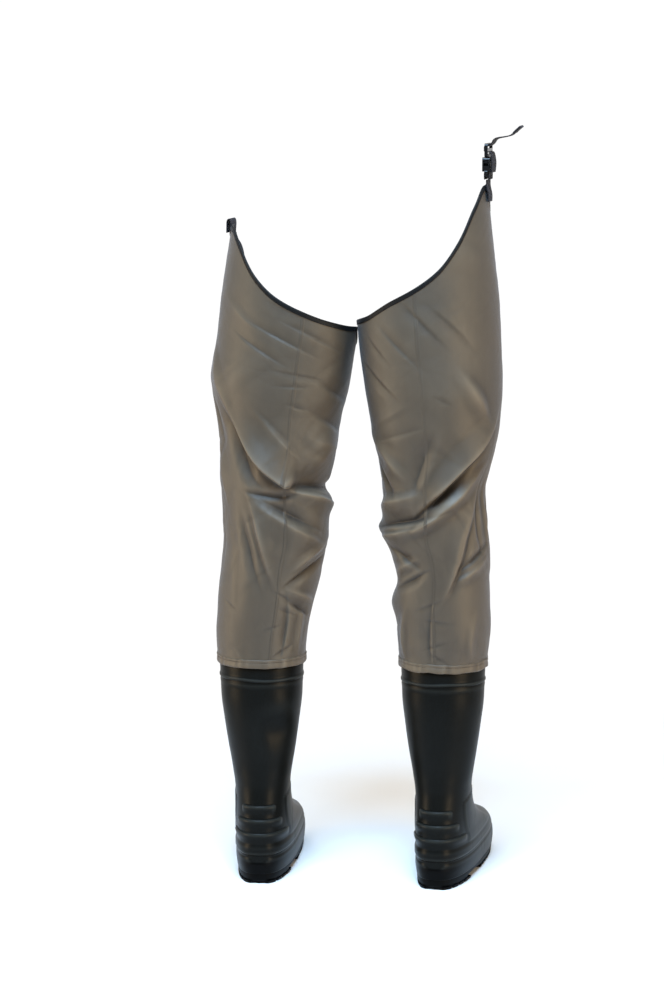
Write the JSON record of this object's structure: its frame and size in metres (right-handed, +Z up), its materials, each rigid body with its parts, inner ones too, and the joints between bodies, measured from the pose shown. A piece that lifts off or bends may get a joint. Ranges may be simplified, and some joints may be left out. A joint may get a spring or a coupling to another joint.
{
  "type": "hip waders",
  "caption": "Pair of hip waders standing as worn: PVC boots, nylon legs with a slanted top, and a belt strap with a side-release buckle at each outer hip.",
  "frame": {"origin": "middle of the bounding box, on the floor under the soles", "axes": "+Z up, the toes point towards -Y, the wearer's left is +X"},
  "size_m": [0.4628, 0.3376, 1.1452],
  "materials": {
    "nylon": "coated satin nylon, taupe, fine plain weave",
    "trim": "woven binding and welded seam tape, dark brown",
    "boot_pvc": "moulded PVC, dark green-black, satin",
    "sole_pvc": "moulded PVC, black, matt with a tread",
    "lining": "knitted jersey lining, grey",
    "webbing": "black polypropylene webbing",
    "buckle": "black moulded acetal"
  },
  "bodies": {
    "left_boot": {"left_boot_shell": "boot_pvc", "left_boot_lining": "lining", "left_insole": "lining", "left_boot_collar": "boot_pvc", "left_joint_tape": "trim", "left_outsole": "sole_pvc", "left_fabric_lower": "nylon", "left_fabric_knee": "nylon", "left_cuff_band": "trim", "left_seam_tape_lower": "trim"},
    "left_thigh": {"left_fabric_upper": "nylon", "left_rim_binding": "trim", "left_seam_tape_upper": "trim", "left_peak_patch": "nylon", "left_strap_anchor": "webbing"},
    "left_strap": {"left_web_loop": "webbing", "left_buckle_socket": "buckle"},
    "left_buckle": {"left_buckle_tongue": "buckle", "left_buckle_arm_front": "buckle", "left_buckle_arm_rear": "buckle", "left_strap_webbing": "webbing"},
    "right_boot": {"right_boot_shell": "boot_pvc", "right_boot_lining": "lining", "right_insole": "lining", "right_boot_collar": "boot_pvc", "right_joint_tape": "trim", "right_outsole": "sole_pvc", "right_fabric_lower": "nylon", "right_fabric_knee": "nylon", "right_cuff_band": "trim", "right_seam_tape_lower": "trim"},
    "right_thigh": {"right_fabric_upper": "nylon", "right_rim_binding": "trim", "right_seam_tape_upper": "trim", "right_peak_patch": "nylon", "right_strap_anchor": "webbing"},
    "right_strap": {"right_web_loop": "webbing", "right_buckle_socket": "buckle"},
    "right_buckle": {"right_buckle_tongue": "buckle", "right_buckle_arm_front": "buckle", "right_buckle_arm_rear": "buckle", "right_strap_webbing": "webbing"}
  },
  "joints": [
    {"name": "legs_apart", "type": "slide", "parent": "left_boot", "child": "right_boot", "axis": [-1, 0, 0], "range_m": [0, 0.2]},
    {"name": "left_knee_bend", "type": "hinge", "parent": "left_boot", "child": "left_thigh", "pos_m": [0.14071, 0.07567, 0.52], "axis": [-1, 0, 0], "range_deg": [0, 75], "deforming": ["left_fabric_knee"]},
    {"name": "left_strap_swing", "type": "hinge", "parent": "left_thigh", "child": "left_strap", "pos_m": [0.19048, 0.06967, 0.9405], "axis": [0, 1, 0], "range_deg": [0, 90]},
    {"name": "left_buckle_release", "type": "slide", "parent": "left_strap", "child": "left_buckle", "axis": [0, 0, -1], "range_m": [0, 0.03], "deforming": ["left_buckle_arm_front", "left_buckle_arm_rear"]},
    {"name": "right_knee_bend", "type": "hinge", "parent": "right_boot", "child": "right_thigh", "pos_m": [-0.10629, 0.06467, 0.52], "axis": [-1, 0, 0], "range_deg": [0, 75], "deforming": ["right_fabric_knee"]},
    {"name": "right_strap_swing", "type": "hinge", "parent": "right_thigh", "child": "right_strap", "pos_m": [-0.18138, 0.06967, 1.0665], "axis": [0, 1, 0], "range_deg": [-90, 90]},
    {"name": "right_buckle_release", "type": "slide", "parent": "right_strap", "child": "right_buckle", "axis": [0, 0, 1], "range_m": [0, 0.03], "deforming": ["right_buckle_arm_front", "right_buckle_arm_rear"]}
  ]
}
